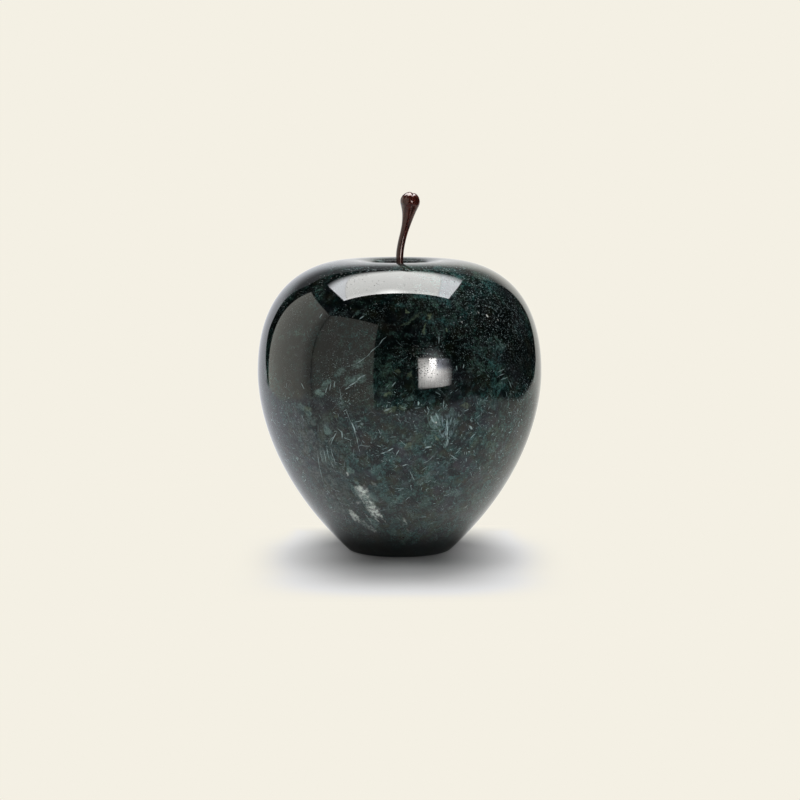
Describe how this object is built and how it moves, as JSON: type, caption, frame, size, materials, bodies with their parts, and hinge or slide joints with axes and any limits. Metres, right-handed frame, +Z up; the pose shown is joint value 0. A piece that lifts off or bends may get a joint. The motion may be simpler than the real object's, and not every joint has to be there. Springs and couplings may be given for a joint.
{
  "type": "marble apple sculpture",
  "caption": "Turned and polished stone apple with a rolled shoulder, a dimple at the top, a small flat foot and a slender lacquered stalk that leans to one side.",
  "frame": {"origin": "centre of the flat foot, on the surface that the apple stands on", "axes": "+Z up along the turned body's axis, +X the way the stalk leans, -Y the side that faces the camera in the picture"},
  "size_m": [0.08, 0.08, 0.1014],
  "materials": {
    "polished_marble": "very dark green marble with paler grey-green clouds, fine veinlets and white flecks, turned and polished to a gloss",
    "brown_lacquer": "glossy dark red-brown lacquer",
    "cured_adhesive": "cured dark adhesive with a smooth skin"
  },
  "bodies": {
    "root": {"marble_apple": "polished_marble", "stem": "brown_lacquer", "stem_adhesive": "cured_adhesive"}
  },
  "joints": []
}
